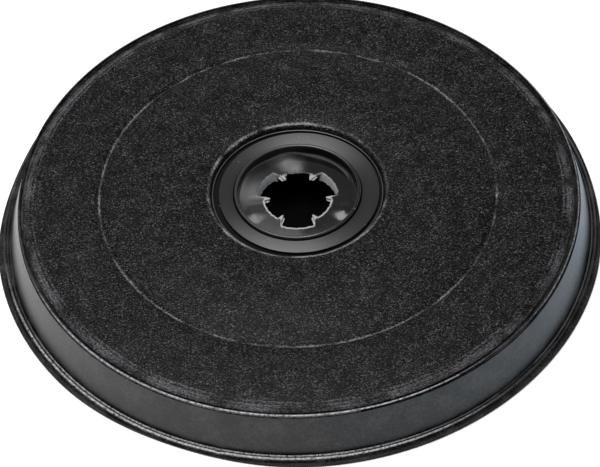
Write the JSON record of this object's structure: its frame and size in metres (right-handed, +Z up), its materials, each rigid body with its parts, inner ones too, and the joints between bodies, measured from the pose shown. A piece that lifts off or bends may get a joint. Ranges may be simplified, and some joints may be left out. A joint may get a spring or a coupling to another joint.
{
  "type": "cooker hood carbon filter",
  "caption": "Round carbon filter for a cooker hood, with a crowned fleece face, a tapered side wall, a stepped flange and a central bayonet socket.",
  "frame": {"origin": "centre of the flange's underside, on the hub's axis", "axes": "+Z up along the hub's axis, out of the fleece side; +X across the filter, with one lobe of the bayonet hole towards -Y"},
  "size_m": [0.235, 0.235, 0.0225],
  "materials": {
    "casing_plastic": "satin moulded",
    "grille_plastic": "satin moulded",
    "frame_plastic": "plain moulded",
    "hub_plastic": "semi-gloss moulded",
    "fleece": "matt non-woven",
    "carbon": "matt granular"
  },
  "bodies": {
    "root": {"outer_casing": "casing_plastic", "base_grille": "grille_plastic", "cell_frame": "frame_plastic", "hub_collar": "hub_plastic", "bayonet_socket": "hub_plastic", "top_fleece": "fleece", "bottom_fleece": "fleece", "carbon_inner_1": "carbon", "carbon_inner_2": "carbon", "carbon_inner_3": "carbon", "carbon_inner_4": "carbon", "carbon_inner_5": "carbon", "carbon_inner_6": "carbon", "carbon_outer_1": "carbon", "carbon_outer_2": "carbon", "carbon_outer_3": "carbon", "carbon_outer_4": "carbon", "carbon_outer_5": "carbon", "carbon_outer_6": "carbon"}
  },
  "joints": []
}
